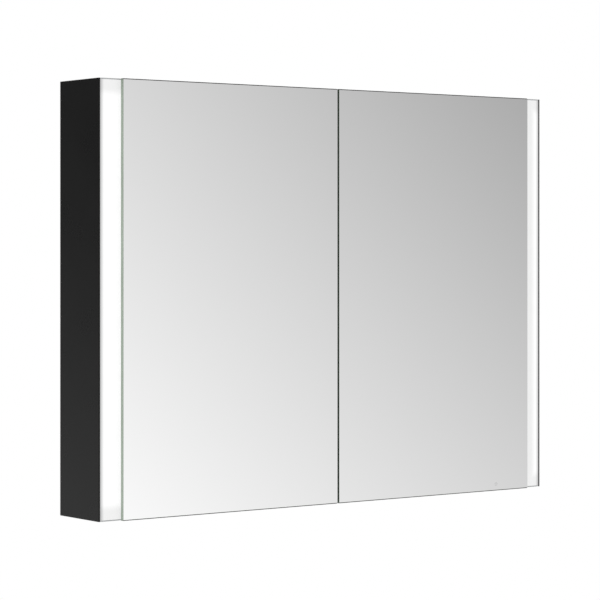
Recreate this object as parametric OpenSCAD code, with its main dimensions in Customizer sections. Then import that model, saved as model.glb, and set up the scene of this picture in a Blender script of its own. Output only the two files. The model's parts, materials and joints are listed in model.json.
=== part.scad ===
// Wall-hung mirror cabinet with two frameless mirror doors and a light strip at each side.
// Millimetres. +X right as seen from the front, -Y out of the wall, +Z up.
// The origin is the middle of the wall rail's back face, on the wall.

/* [Cabinet] */
// Overall width over the side panels
cab_w = 950; // [800:10:1200]
// Overall height
cab_h = 710; // [640:10:800]
// Depth of the body, wall to light strip
body_d = 119; // [116:1:140]
// Distance from the top of the cabinet down to the wall rail's middle
rail_drop = 60; // [50:1:80]
// Thickness of the black side panels
side_t = 2.5; // [1.5:0.5:3]
// Thickness of the top and bottom panels
deck_t = 2.5; // [2:0.5:3]
// Depth of the service space between the wall and the back panel
service_d = 18; // [16:1:22]
// Width of the hollow centre partition
partition_w = 16; // [12:1:20]

/* [Doors] */
// Thickness of the front mirror glass
glass_t = 4; // [3:0.5:5]
// Thickness of the adhesive film between the two mirrors
bond_t = 0.5; // [0.3:0.1:0.8]
// Thickness of the rear mirror glass
rear_glass_t = 3; // [3:0.5:4]
// Gap between the body and the back of a closed door
door_stand_off = 3.5; // [3.5:0.5:6]
// Gap between the two doors
door_gap = 3.5; // [2:0.5:5]

/* [Lights] */
// Width of a light strip that shows beside the door
strip_w = 37; // [34:0.5:50]
// Depth of the aluminium light channel
channel_d = 30; // [24:1:34]
// Thickness of the opal cover
cover_t = 3; // [2:0.5:4]
// Distance between LEDs
led_pitch = 20; // [16:1:40]

/* [Shelves] */
// Thickness of a glass shelf
shelf_t = 5; // [4:1:6]
// Depth of a glass shelf
shelf_d = 72; // [60:1:74]

/* [Hinges] */
// Distance of each hinge from the top and the bottom
hinge_inset = 110; // [90:5:130]
// Radius of a hinge pin
pin_r = 1.5; // [1.5:0.1:1.8]
// Radial clearance of a hinge pin that turns
pin_play = 0.05; // [0.03:0.01:0.08]

/* [Hidden] */
$fn = 48;
left = -1;
right = 1;
top_z = rail_drop;
bottom_z = rail_drop - cab_h;
front_y = -body_d;
side_in_x = cab_w / 2 - side_t;
edge_x = side_in_x - strip_w;            // outer edge of a door
inner_h = cab_h - 2 * deck_t;
inner_bottom_z = bottom_z + deck_t;
side_bevel = 0.2;
flange_w = 12;                           // the side panel's rear flange, which lies on the wall
flange_t = 2;
wall_t = 1.5;
strip_tuck = 3;                          // the light cover reaches this far behind the door's edge
wall_out_x = edge_x - strip_tuck - 0.2;  // outer face of an inner wall
wall_in_x = wall_out_x - wall_t;
back_y = -service_d;                     // rear face of the back panel
back_t = 2;
mirror_back_t = 3;
play = 0.3;                              // gap between pieces that only lie side by side

door_rear_y = front_y - door_stand_off;
rear_glass_front_y = door_rear_y - rear_glass_t;
glass_rear_y = rear_glass_front_y - bond_t;
door_front_y = glass_rear_y - glass_t;
door_in_x = door_gap / 2;

channel_x0 = edge_x - strip_tuck;
channel_x1 = side_in_x - 0.2;
channel_mid_x = (channel_x0 + channel_x1) / 2;
channel_wall = 1.5;
cap_t = 2;
cover_leg_t = 1.2;
cover_leg_d = 5;
led_board_y = front_y + channel_d - channel_wall;
led_board_t = 1.6;
led_board_w = 12;
led_board_inset = 6;
led_w = 5;
led_t = 1;

shelf_count = 3;
shelf_rear_y = back_y - back_t - mirror_back_t - 1;
shelf_pin_ys = [shelf_rear_y - 12, shelf_rear_y - shelf_d + 12];
shelf_pin_r = 2.5;
shelf_pin_reach = 7;
press = 0.02;                            // a pressed pin or screw is this much smaller than its hole

// Hinge pivots: distance in from the door's outer edge, and forward of the body's front
pivot_short_body = [27, -6];
pivot_short_door = [9.2, -5.7];
pivot_long_body = [46, -27.7];
pivot_long_door = [9, -12.7];
open_play = 1;                           // radial clearance at the long arm's free pivot
arm_r = 3.6;
plate_gap = 0.3;
arm_t = 6.5;
tongue_t = 2;
tongue_z = plate_gap / 2;
base_plate_t = 2;
short_arm_z = -plate_gap / 2 - arm_t;
long_arm_z = tongue_z + tongue_t + plate_gap;
low_plate_z = short_arm_z - plate_gap - base_plate_t;
high_plate_z = long_arm_z + arm_t + plate_gap;
hinge_zs = [top_z - hinge_inset, bottom_z + hinge_inset];
block_y = [-62, -32];
block_t = 5;
base_bar_r = 4.2;
hinge_screw_ys = [front_y - block_y[0] - 6, front_y - block_y[1] + 6];
hinge_screw_r = 2;
screw_head_r = 3.5;
screw_head_t = 1.5;
pad_in = 36;
pad_out = 4;
pad_half_h = 18;
pad_t = 2;

rail_len = 0.8 * cab_w;
rail_t = 2;
rail_h = 40;
rail_hole_r = 3;
rail_hole_z = -8;
rail_hole_xs = [100, 300];
ledge_z = 8;
lip_y = 10;
bracket_x = rail_len / 2 - 50;
bracket_w = 50;
bracket_low_z = -32;
hook_z = rail_h / 2 + 1;
hook_t = 3;
rivet_zs = [-24, -2];
rivet_r = 2;
levelling_screw_y = -9;

socket_y = -52;
socket_z = bottom_z + 50;
socket_r = 21.5;
socket_len = 36;
recess_r = 19.5;
recess_d = 17.5;
contact_r = 2.5;
contact_y = 9.5;
lead_r = 2.5;
lead_z = bottom_z + 200;
lead_y = -10;
driver_w = 180;
driver_h = 44;
driver_x = -60;
driver_z = lead_z;
driver_back_y = -4;
lid_t = 1.5;
box_skin = 1.5;
terminal_x = 100;
terminal_w = 60;
gland_r = 4;
gland_len = 6;
sensor_x = edge_x - 69;
sensor_front_y = front_y - door_stand_off + 1.5;

// A box from its low corner to its high corner
module span(lo, hi) translate(lo) cube(hi - lo);

// Draws the children on the right, or mirrored on the left
module on_side(s) {
    if (s == left) mirror([1, 0, 0]) children();
    else children();
}

// A plan point given inward from the door's edge and forward of the body's front
function plan(p) = [edge_x - p[0], front_y - p[1]];

// An outline in plan, drawn up the full height between two levels
module upright(z0, z1) translate([0, 0, z0]) linear_extrude(z1 - z0) children();

// Half a ring of points about a centre, from a start angle
function half_ring(c, r, start) = [for (i = [0 : 12]) c + r * [cos(start + 15 * i), sin(start + 15 * i)]];

// A flat bar with round ends between two plan points
module bar(a, b, r) {
    turn = atan2(b[1] - a[1], b[0] - a[0]);
    polygon(concat(half_ring(b, r, turn - 90), half_ring(a, r, turn + 90)));
}

// ---- body ----

module side_panel(s) color([0.13, 0.13, 0.13]) on_side(s)
    upright(bottom_z, top_z) polygon([
        [side_in_x, front_y], [side_in_x + side_t - side_bevel, front_y],
        [side_in_x + side_t, front_y + side_bevel], [side_in_x + side_t, 0], [side_in_x - flange_w, 0],
        [side_in_x - flange_w, -flange_t], [side_in_x, -flange_t]
    ]);

module deck(z) color([0.78, 0.79, 0.8]) {
    wide_x = side_in_x - 0.1;
    notch_y = front_y + channel_d + play;
    rear_y = -flange_t - 0.5;
    upright(z, z + deck_t) polygon([
        [-wide_x, rear_y], [-wide_x, notch_y], [-wall_out_x, notch_y], [-wall_out_x, front_y],
        [wall_out_x, front_y], [wall_out_x, notch_y], [wide_x, notch_y], [wide_x, rear_y]
    ]);
}

module back_panel() color([0.85, 0.86, 0.87])
    span([-wall_in_x, back_y - back_t, inner_bottom_z], [wall_in_x, back_y, inner_bottom_z + inner_h]);

module inner_wall(s) color([0.82, 0.83, 0.84]) on_side(s) difference() {
    span([wall_in_x, front_y, inner_bottom_z], [wall_out_x, -3, inner_bottom_z + inner_h]);
    translate([wall_in_x - 1, lead_y, lead_z]) rotate([0, 90, 0]) cylinder(r = lead_r + 1.5, h = wall_t + 2);
    if (s == right) translate([wall_in_x - 1, socket_y, socket_z]) rotate([0, 90, 0])
        cylinder(r = socket_r + play, h = wall_t + 2);
    for (i = [0 : shelf_count - 1], y = shelf_pin_ys) translate([wall_in_x - 1, y, shelf_pin_z(i)])
        rotate([0, 90, 0]) cylinder(r = shelf_pin_r, h = wall_t + 2);
    for (z = hinge_zs, y = hinge_screw_ys) translate([wall_in_x - 1, y, z]) rotate([0, 90, 0])
        cylinder(r = hinge_screw_r, h = wall_t + 2);
}

module centre_partition() color([0.82, 0.83, 0.84]) {
    skin = 1.5;
    rear_y = back_y - back_t;
    half = partition_w / 2;
    difference() {
        span([-half, front_y, inner_bottom_z], [half, rear_y, inner_bottom_z + inner_h]);
        span([-half + skin, front_y + skin, inner_bottom_z - 1],
             [half - skin, rear_y - skin, inner_bottom_z + inner_h + 1]);
        for (i = [0 : shelf_count - 1], y = shelf_pin_ys) translate([-half - 1, y, shelf_pin_z(i)])
            rotate([0, 90, 0]) cylinder(r = shelf_pin_r, h = partition_w + 2);
    }
}

module back_mirror(s) color([0.75, 0.8, 0.8]) on_side(s)
    span([partition_w / 2 + play, back_y - back_t - mirror_back_t, inner_bottom_z + play],
         [wall_in_x - play, back_y - back_t, inner_bottom_z + inner_h - play]);

// ---- shelves ----

// Underside of a shelf, counted up from the bottom
function shelf_z(i) = inner_bottom_z + inner_h * (i + 1) / (shelf_count + 1);
function shelf_pin_z(i) = shelf_z(i) - shelf_pin_r;

module shelf(s, i) color([0.7, 0.85, 0.8]) on_side(s)
    span([partition_w / 2 + 1, shelf_rear_y - shelf_d, shelf_z(i)],
         [wall_in_x - 1, shelf_rear_y, shelf_z(i) + shelf_t]);

module shelf_pins() color([0.8, 0.8, 0.82])
    for (s = [left, right], i = [0 : shelf_count - 1], y = shelf_pin_ys) on_side(s) {
        translate([wall_in_x - shelf_pin_reach, y, shelf_pin_z(i)]) rotate([0, 90, 0])
            cylinder(r = shelf_pin_r - press, h = shelf_pin_reach + wall_t);
        translate([partition_w / 2 - 1.5, y, shelf_pin_z(i)]) rotate([0, 90, 0])
            cylinder(r = shelf_pin_r - press, h = shelf_pin_reach + 1.5);
    }

// ---- lights ----

module light_channel(s) color([0.75, 0.76, 0.77]) on_side(s) difference() {
    z0 = bottom_z + cap_t;
    z1 = top_z - cap_t;
    upright(z0, z1) polygon([
        [channel_x0, front_y + cover_t], [channel_x0, front_y + channel_d],
        [channel_x1, front_y + channel_d], [channel_x1, front_y + cover_t],
        [channel_x1 - channel_wall, front_y + cover_t],
        [channel_x1 - channel_wall, front_y + channel_d - channel_wall],
        [channel_x0 + channel_wall, front_y + channel_d - channel_wall],
        [channel_x0 + channel_wall, front_y + cover_t]
    ]);
    translate([channel_mid_x, front_y + channel_d + 1, lead_z]) rotate([90, 0, 0])
        cylinder(r = lead_r + 0.5, h = channel_wall + 2);
}

module led_board(s) color([0.95, 0.95, 0.9]) on_side(s) {
    half_w = led_board_w / 2;
    z0 = bottom_z + cap_t + led_board_inset;
    z1 = top_z - cap_t - led_board_inset;
    span([channel_mid_x - half_w, led_board_y - led_board_t, z0], [channel_mid_x + half_w, led_board_y, z1]);
    for (z = [z0 + led_pitch / 2 : led_pitch : z1 - led_w])
        span([channel_mid_x - led_w / 2, led_board_y - led_board_t - led_t, z - led_w / 2],
             [channel_mid_x + led_w / 2, led_board_y - led_board_t, z + led_w / 2]);
}

module light_cover(s) color([1, 1, 1]) on_side(s) {
    in0 = channel_x0 + channel_wall + 0.1;
    in1 = channel_x1 - channel_wall - 0.1;
    upright(bottom_z + cap_t, top_z - cap_t) polygon([
        [channel_x0, front_y], [channel_x0, front_y + cover_t], [in0, front_y + cover_t],
        [in0, front_y + cover_t + cover_leg_d], [in0 + cover_leg_t, front_y + cover_t + cover_leg_d],
        [in0 + cover_leg_t, front_y + cover_t], [in1 - cover_leg_t, front_y + cover_t],
        [in1 - cover_leg_t, front_y + cover_t + cover_leg_d], [in1, front_y + cover_t + cover_leg_d],
        [in1, front_y + cover_t], [channel_x1, front_y + cover_t], [channel_x1, front_y]
    ]);
}

module light_end_caps(s) color([0.8, 0.81, 0.82]) on_side(s)
    for (z = [bottom_z, top_z - cap_t])
        span([channel_x0, front_y, z], [channel_x1, front_y + channel_d, z + cap_t]);

// ---- electrics ----

// The driver's case, open towards its lid, with the moulded block of its coil and capacitors
module led_driver() color([0.93, 0.93, 0.93]) {
    lo = [driver_x - driver_w / 2, back_y, driver_z - driver_h / 2];
    hi = [driver_x + driver_w / 2, driver_back_y - lid_t, driver_z + driver_h / 2];
    difference() {
        span(lo, hi);
        span(lo + [box_skin, box_skin, box_skin], [hi[0] - box_skin, hi[1] + 1, hi[2] - box_skin]);
    }
    span([lo[0] + 20, lo[1] + box_skin, lo[2] + 8], [lo[0] + 90, hi[1] - 2, hi[2] - 8]);
}

module led_driver_lid() color([0.88, 0.88, 0.88])
    span([driver_x - driver_w / 2, driver_back_y - lid_t, driver_z - driver_h / 2],
         [driver_x + driver_w / 2, driver_back_y, driver_z + driver_h / 2]);

// A round lead along straight runs, with a ball at each bend
module lead(points) {
    for (i = [0 : len(points) - 2]) {
        run = points[i + 1] - points[i];
        flat = norm([run[0], run[1]]);
        translate(points[i]) rotate([0, atan2(flat, run[2]), atan2(run[1], run[0])])
            cylinder(r = lead_r, h = norm(run));
    }
    for (i = [1 : len(points) - 2]) translate(points[i]) sphere(r = lead_r);
}

module light_lead(s) color([0.2, 0.2, 0.2]) {
    start_x = s * driver_x + driver_w / 2;
    on_side(s) lead([
        [s == left ? start_x : terminal_x + terminal_w / 2, lead_y, lead_z],
        [channel_mid_x, lead_y, lead_z],
        [channel_mid_x, led_board_y, lead_z]
    ]);
}

module terminal_box() color([0.9, 0.9, 0.88]) {
    lo = [driver_x + driver_w / 2 + 0.5, back_y, driver_z - driver_h / 2];
    hi = [terminal_x + terminal_w / 2, driver_back_y - lid_t, driver_z + driver_h / 2];
    difference() {
        span(lo, hi);
        span(lo + [box_skin, box_skin, box_skin], hi - [box_skin, box_skin, box_skin]);
        translate([terminal_x, hi[1] + 1, driver_z]) rotate([90, 0, 0])
            cylinder(r = gland_r + 2, h = box_skin + 2);
    }
}

module cable_gland() color([0.15, 0.15, 0.15]) {
    rear = driver_back_y - lid_t;
    flange = 2;
    translate([terminal_x, rear + flange, driver_z]) rotate([90, 0, 0]) difference() {
        union() {
            cylinder(r = gland_r + 4, h = flange);
            cylinder(r = gland_r + 2 - press, h = gland_len);
        }
        translate([0, 0, -1]) cylinder(r = gland_r, h = gland_len + 2);
    }
}

module power_socket() color([0.96, 0.96, 0.96])
    translate([wall_in_x, socket_y, socket_z]) rotate([0, 90, 0]) difference() {
        cylinder(r = socket_r, h = socket_len);
        translate([0, 0, -1]) cylinder(r = recess_r, h = recess_d + 1);
        for (y = [-contact_y, contact_y]) translate([0, y, recess_d - 1]) cylinder(r = contact_r, h = 13);
    }

module power_socket_frame() color([0.96, 0.96, 0.96]) {
    frame_half = 27;
    frame_t = 3;
    difference() {
        span([wall_in_x - frame_t, socket_y - frame_half, socket_z - frame_half],
             [wall_in_x, socket_y + frame_half, socket_z + frame_half]);
        translate([wall_in_x - frame_t - 1, socket_y, socket_z]) rotate([0, 90, 0])
            cylinder(r = recess_r, h = frame_t + 2);
    }
}

module touch_sensor() color([0.1, 0.1, 0.1]) {
    span([sensor_x - 14, sensor_front_y, inner_bottom_z], [sensor_x + 14, front_y + 12, inner_bottom_z + 14]);
    translate([sensor_x, sensor_front_y, inner_bottom_z + 7]) rotate([90, 0, 0]) cylinder(r = 5, h = 1);
}

// ---- hanging ----

module wall_rail() color([0.7, 0.71, 0.72]) difference() {
    translate([-rail_len / 2, 0, 0]) rotate([90, 0, 90]) linear_extrude(rail_len) polygon([
        [0, -rail_h / 2], [0, rail_h / 2], [-rail_t, rail_h / 2], [-rail_t, ledge_z + rail_t],
        [-lip_y + rail_t, ledge_z + rail_t], [-lip_y + rail_t, rail_h / 2], [-lip_y, rail_h / 2],
        [-lip_y, ledge_z], [-rail_t, ledge_z], [-rail_t, -rail_h / 2]
    ]);
    for (x = rail_hole_xs, s = [-1, 1]) translate([s * x, 1, rail_hole_z]) rotate([90, 0, 0])
        cylinder(r = rail_hole_r, h = rail_t + 2);
}

module hanging_brackets() color([0.66, 0.67, 0.68]) for (s = [left, right]) on_side(s) difference() {
    translate([bracket_x - bracket_w / 2, 0, 0]) rotate([90, 0, 90]) linear_extrude(bracket_w) polygon([
        [-3, hook_z + hook_t], [-3, ledge_z + rail_t + 2], [-6.5, ledge_z + rail_t + 2], [-6.5, hook_z],
        [back_y + hook_t, hook_z], [back_y + hook_t, bracket_low_z], [back_y, bracket_low_z],
        [back_y, hook_z + hook_t]
    ]);
    translate([bracket_x, levelling_screw_y, hook_z - 1]) cylinder(r = 2, h = hook_t + 2);
    for (z = rivet_zs) translate([bracket_x, back_y - 1, z]) rotate([-90, 0, 0])
        cylinder(r = rivet_r, h = hook_t + 2);
}

module levelling_screws() color([0.6, 0.6, 0.62]) for (s = [left, right]) on_side(s)
    translate([bracket_x, levelling_screw_y, rail_h / 2]) {
        cylinder(r = 2 - press, h = 12);
        translate([0, 0, 12]) cylinder(r = 4, h = 3, $fn = 6);
    }

module bracket_rivets() color([0.6, 0.6, 0.62]) for (s = [left, right], z = rivet_zs) on_side(s)
    translate([bracket_x, back_y, z]) rotate([-90, 0, 0]) {
        cylinder(r = rivet_r - press, h = hook_t);
        translate([0, 0, hook_t]) cylinder(r = 3.5, h = 1.2);
    }

module door_bumpers() color([0.9, 0.9, 0.9]) for (s = [left, right], z = [bottom_z + 40, top_z - 40])
    on_side(s) translate([partition_w / 2 - 3.2, front_y, z]) rotate([90, 0, 0])
        cylinder(r = 2.8, h = door_stand_off - play);

// ---- hinges ----

// Draws the children at the height of each hinge
module at_hinges() for (z = hinge_zs) translate([0, 0, z]) children();

// The part of a hinge fixed to the inner wall: a block with a low plate and a high plate
module hinge_bases(s) color([0.72, 0.73, 0.75]) on_side(s) at_hinges() difference() {
    union() {
        span([wall_in_x - block_t, front_y - block_y[1], low_plate_z],
             [wall_in_x, front_y - block_y[0], high_plate_z + base_plate_t]);
        upright(low_plate_z, low_plate_z + base_plate_t)
            bar([wall_in_x - block_t, front_y - block_y[1] + 5], plan(pivot_short_body), base_bar_r);
        upright(high_plate_z, high_plate_z + base_plate_t)
            bar([wall_in_x - block_t, front_y - block_y[1] + 6], plan(pivot_long_body), base_bar_r);
    }
    upright(low_plate_z - 1, low_plate_z + base_plate_t + 1)
        translate(plan(pivot_short_body)) circle(pin_r + press);
    upright(high_plate_z - 1, high_plate_z + base_plate_t + 1)
        translate(plan(pivot_long_body)) circle(pin_r + press);
    for (y = hinge_screw_ys) translate([wall_in_x - block_t - 1, y, 0]) rotate([0, 90, 0])
        cylinder(r = hinge_screw_r, h = block_t + 2);
}

module hinge_base_pins(s) color([0.6, 0.61, 0.63]) on_side(s) at_hinges() {
    upright(low_plate_z, short_arm_z + arm_t) translate(plan(pivot_short_body)) circle(pin_r);
    upright(long_arm_z, high_plate_z + base_plate_t) translate(plan(pivot_long_body)) circle(pin_r);
}

module short_arms(s) color([0.78, 0.79, 0.8]) on_side(s) at_hinges()
    upright(short_arm_z, short_arm_z + arm_t) difference() {
        bar(plan(pivot_short_body), plan(pivot_short_door), arm_r);
        translate(plan(pivot_short_body)) circle(pin_r + pin_play);
        translate(plan(pivot_short_door)) circle(pin_r + pin_play);
    }

module long_arms(s) color([0.78, 0.79, 0.8]) on_side(s) at_hinges()
    upright(long_arm_z, long_arm_z + arm_t) difference() {
        bar(plan(pivot_long_body), plan(pivot_long_door), arm_r);
        translate(plan(pivot_long_body)) circle(pin_r + pin_play);
        translate(plan(pivot_long_door)) circle(pin_r + open_play);
    }

// The part of a hinge fixed to the door: a pad on the rear mirror with a tongue between the arms
module hinge_plates(s) color([0.72, 0.73, 0.75]) on_side(s) at_hinges() difference() {
    union() {
        span([edge_x - pad_in, door_rear_y, -pad_half_h],
             [edge_x - pad_out, door_rear_y + pad_t, pad_half_h]);
        upright(tongue_z, tongue_z + tongue_t) {
            bar(plan(pivot_short_door), plan(pivot_long_door), arm_r);
            translate(plan([pivot_short_door[0], 0]) - [arm_r, door_stand_off])
                square([2 * arm_r, door_stand_off - pivot_short_door[1]]);
        }
    }
    for (p = [pivot_short_door, pivot_long_door])
        upright(tongue_z - 1, tongue_z + tongue_t + 1) translate(plan(p)) circle(pin_r + press);
}

module hinge_door_pins(s) color([0.6, 0.61, 0.63]) on_side(s) at_hinges() {
    upright(short_arm_z, tongue_z + tongue_t) translate(plan(pivot_short_door)) circle(pin_r);
    upright(tongue_z, long_arm_z + arm_t) translate(plan(pivot_long_door)) circle(pin_r);
}

module hinge_screws() color([0.6, 0.61, 0.63])
    for (s = [left, right], z = hinge_zs, y = hinge_screw_ys) on_side(s)
        translate([wall_in_x - block_t - screw_head_t, y, z]) rotate([0, 90, 0]) {
            cylinder(r = screw_head_r, h = screw_head_t);
            cylinder(r = hinge_screw_r - press, h = screw_head_t + block_t + wall_t);
        }

// ---- doors ----

module door_mirror(s) color([0.8, 0.84, 0.84]) on_side(s)
    span([door_in_x, door_front_y, bottom_z], [edge_x, glass_rear_y, top_z]);

module door_bond(s) color([0.3, 0.3, 0.3]) on_side(s) {
    inset = 2;
    span([door_in_x + inset, glass_rear_y, bottom_z + inset],
         [edge_x - inset, rear_glass_front_y, top_z - inset]);
}

module door_rear_mirror(s) color([0.75, 0.8, 0.8]) on_side(s)
    span([door_in_x, rear_glass_front_y, bottom_z], [edge_x, door_rear_y, top_z]);

side_panel(left);  // left_side_panel
side_panel(right);  // right_side_panel
deck(top_z - deck_t);  // top_panel
deck(bottom_z);  // bottom_panel
back_panel();
inner_wall(left);  // left_inner_wall
inner_wall(right);  // right_inner_wall
centre_partition();
back_mirror(left);  // left_back_mirror
back_mirror(right);  // right_back_mirror
shelf(left, 0);  // left_shelf_1
shelf(left, 1);  // left_shelf_2
shelf(left, 2);  // left_shelf_3
shelf(right, 0);  // right_shelf_1
shelf(right, 1);  // right_shelf_2
shelf(right, 2);  // right_shelf_3
shelf_pins();
light_channel(left);  // left_light_channel
light_channel(right);  // right_light_channel
led_board(left);  // left_led_board
led_board(right);  // right_led_board
light_cover(left);  // left_light_cover
light_cover(right);  // right_light_cover
light_end_caps(left);  // left_light_end_caps
light_end_caps(right);  // right_light_end_caps
led_driver();
led_driver_lid();
light_lead(left);  // left_light_lead
light_lead(right);  // right_light_lead
terminal_box();
cable_gland();
power_socket();
power_socket_frame();
touch_sensor();
wall_rail();
hanging_brackets();
levelling_screws();
bracket_rivets();
door_bumpers();
hinge_screws();
hinge_bases(left);  // left_hinge_bases
hinge_base_pins(left);  // left_hinge_base_pins
short_arms(left);  // left_short_arms
long_arms(left);  // left_long_arms
hinge_plates(left);  // left_hinge_plates
hinge_door_pins(left);  // left_hinge_door_pins
door_mirror(left);  // left_door_mirror
door_bond(left);  // left_door_bond
door_rear_mirror(left);  // left_door_rear_mirror
hinge_bases(right);  // right_hinge_bases
hinge_base_pins(right);  // right_hinge_base_pins
short_arms(right);  // right_short_arms
long_arms(right);  // right_long_arms
hinge_plates(right);  // right_hinge_plates
hinge_door_pins(right);  // right_hinge_door_pins
door_mirror(right);  // right_door_mirror
door_bond(right);  // right_door_bond
door_rear_mirror(right);  // right_door_rear_mirror
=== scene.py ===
"""Wall-hung mirror cabinet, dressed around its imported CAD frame.

Every length is in metres and every place comes from the frame: +X right as seen from the front,
-Y out of the wall, +Z up.
"""

import json
import logging
import math
from dataclasses import dataclass, field
from enum import Enum, IntEnum
from typing import Callable, Optional, Sequence

import bpy
from mathutils import Matrix, Vector


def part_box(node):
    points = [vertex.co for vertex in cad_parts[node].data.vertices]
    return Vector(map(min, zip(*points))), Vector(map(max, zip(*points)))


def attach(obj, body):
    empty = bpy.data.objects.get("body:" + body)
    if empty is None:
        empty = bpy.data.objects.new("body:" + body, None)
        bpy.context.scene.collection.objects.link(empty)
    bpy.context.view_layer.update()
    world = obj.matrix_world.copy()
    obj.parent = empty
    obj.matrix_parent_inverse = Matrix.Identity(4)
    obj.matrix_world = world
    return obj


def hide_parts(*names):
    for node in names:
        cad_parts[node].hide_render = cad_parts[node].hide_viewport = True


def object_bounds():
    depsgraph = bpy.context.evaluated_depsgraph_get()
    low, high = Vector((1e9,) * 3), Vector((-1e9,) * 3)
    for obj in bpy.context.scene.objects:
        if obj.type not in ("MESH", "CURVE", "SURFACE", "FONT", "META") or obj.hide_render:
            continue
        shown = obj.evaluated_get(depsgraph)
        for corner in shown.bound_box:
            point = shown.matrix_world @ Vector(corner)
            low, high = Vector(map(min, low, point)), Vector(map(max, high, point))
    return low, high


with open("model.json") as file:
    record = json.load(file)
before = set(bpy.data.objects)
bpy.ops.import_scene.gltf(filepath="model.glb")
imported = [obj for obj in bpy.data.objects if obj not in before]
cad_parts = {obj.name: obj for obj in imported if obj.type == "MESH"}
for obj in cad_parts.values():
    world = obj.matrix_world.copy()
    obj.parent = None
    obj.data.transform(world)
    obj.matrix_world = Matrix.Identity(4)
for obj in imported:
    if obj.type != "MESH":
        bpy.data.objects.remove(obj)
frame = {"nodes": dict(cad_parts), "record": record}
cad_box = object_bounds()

log = logging.getLogger("mirror_cabinet")
MM = 0.001
SIDE_ARRIS = 0.25 * MM
NEAR = 0.01 * MM
WELD = 0.01 * MM
FLAT_ANGLE = math.radians(0.5)
SHARP_ANGLE = 35.0
MARK_INSET = Vector((76.5 * MM, 12 * MM))


class Side(Enum):
    """The two sides of the cabinet; the value is the sign of X."""

    LEFT = -1
    RIGHT = 1

    @property
    def word(self) -> str:
        """The side as it stands in node names."""
        return self.name.lower()


class Along(Enum):
    """The way a sheet was rolled or extruded; the value is the stretch of its lines along each axis."""

    X = (0.004, 1, 1)
    Z = (1, 1, 0.004)


class Climb(Enum):
    """How a factor climbs between its two ends."""

    EVEN = "LINEAR"
    SOFT = "SMOOTHSTEP"


class Coat(IntEnum):
    """The material slots of a mirror pane, in order."""

    FACE = 0
    POLISHED = 1
    GROUND = 2
    LACQUER = 3
    # the edge that meets the other door, coloured darker as painted shade for the gap
    SEALED = 4


# ---- small tools ----


def linear(code: str) -> tuple[float, float, float, float]:
    """Turns an sRGB hex colour into linear RGBA.

    Args:
        code: six hex digits, such as "A0B4A8".

    Returns:
        Red, green, blue and alpha, linear.
    """
    parts = [int(code[i:i + 2], 16) / 255 for i in (0, 2, 4)]
    return (*[p / 12.92 if p <= 0.04045 else ((p + 0.055) / 1.055) ** 2.4 for p in parts], 1.0)


def add_node(tree: bpy.types.NodeTree, kind: str, sockets: Optional[dict] = None,
             **settings) -> bpy.types.Node:
    """Adds a shader node with its settings, values and links.

    Args:
        tree: the node tree that gets the node.
        kind: the node's type name.
        sockets: input name or number, to a value or to the output socket it is linked from.
        settings: the node's own properties.

    Returns:
        The new node.
    """
    node = tree.nodes.new(kind)
    for name, value in settings.items():
        setattr(node, name, value)
    for key, value in (sockets or {}).items():
        if isinstance(value, bpy.types.NodeSocket):
            tree.links.new(value, node.inputs[key])
        else:
            node.inputs[key].default_value = value
    return node


def clear_selection() -> None:
    """Leaves edit mode and selects nothing."""
    if bpy.context.object and bpy.context.object.mode != "OBJECT":
        bpy.ops.object.mode_set(mode="OBJECT")
    bpy.ops.object.select_all(action="DESELECT")


def hold(piece: bpy.types.Object) -> bpy.types.Object:
    """Makes one piece the only selected and the active object."""
    clear_selection()
    bpy.context.view_layer.objects.active = piece
    piece.select_set(True)
    return piece


def pick(piece: bpy.types.Object, faces: Optional[Callable] = None,
         edges: Optional[Callable] = None) -> None:
    """Selects faces or edges of a mesh by a rule, and enters edit mode.

    Args:
        piece: the mesh object.
        faces: takes a polygon and says if it is wanted.
        edges: takes an edge's two vertex places and says if it is wanted.
    """
    hold(piece)
    mesh = piece.data
    bpy.context.tool_settings.mesh_select_mode = (False, edges is not None, faces is not None)
    for group in (mesh.vertices, mesh.edges, mesh.polygons):
        group.foreach_set("select", [False] * len(group))
    if faces:
        for polygon in mesh.polygons:
            polygon.select = faces(polygon)
    if edges:
        for edge in mesh.edges:
            a, b = (mesh.vertices[i].co for i in edge.vertices)
            edge.select = edges(a, b)
    bpy.ops.object.mode_set(mode="EDIT")


def leave_edit() -> None:
    """Goes back to object mode."""
    bpy.ops.object.mode_set(mode="OBJECT")


def bevel(piece: bpy.types.Object, width: float, segments: int = 2,
          angle: float = SHARP_ANGLE) -> bpy.types.Object:
    """Breaks every sharp edge with a bevel modifier and applies it.

    Args:
        piece: the mesh object.
        width: bevel width.
        segments: steps across the bevel.
        angle: smallest angle between faces, in degrees, that counts as an edge.

    Returns:
        The piece.
    """
    hold(piece)
    modifier = piece.modifiers.new("broken edges", "BEVEL")
    modifier.width = width
    modifier.segments = segments
    modifier.limit_method = "ANGLE"
    modifier.angle_limit = math.radians(angle)
    modifier.use_clamp_overlap = True
    bpy.ops.object.modifier_apply(modifier=modifier.name)
    return piece


def smooth(piece: bpy.types.Object) -> bpy.types.Object:
    """Shades a piece smooth except at its sharp edges, and keeps its large faces flat.

    Args:
        piece: the mesh object.

    Returns:
        The piece.
    """
    hold(piece)
    bpy.ops.object.shade_smooth_by_angle(angle=math.radians(SHARP_ANGLE))
    modifier = piece.modifiers.new("flat large faces", "WEIGHTED_NORMAL")
    modifier.keep_sharp = True
    bpy.ops.object.modifier_apply(modifier=modifier.name)
    return piece


def slab(name: str, low: Sequence[float], high: Sequence[float]) -> bpy.types.Object:
    """Adds a box between two corners, with its place in its mesh.

    Args:
        name: the piece's name.
        low: lowest corner.
        high: highest corner.

    Returns:
        The new piece.
    """
    low, high = Vector(low), Vector(high)
    clear_selection()
    bpy.ops.mesh.primitive_cube_add(size=1, location=(low + high) / 2, scale=high - low)
    piece = bpy.context.object
    piece.name = piece.data.name = name
    bpy.ops.object.transform_apply(location=True, rotation=True, scale=True)
    return piece


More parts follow.
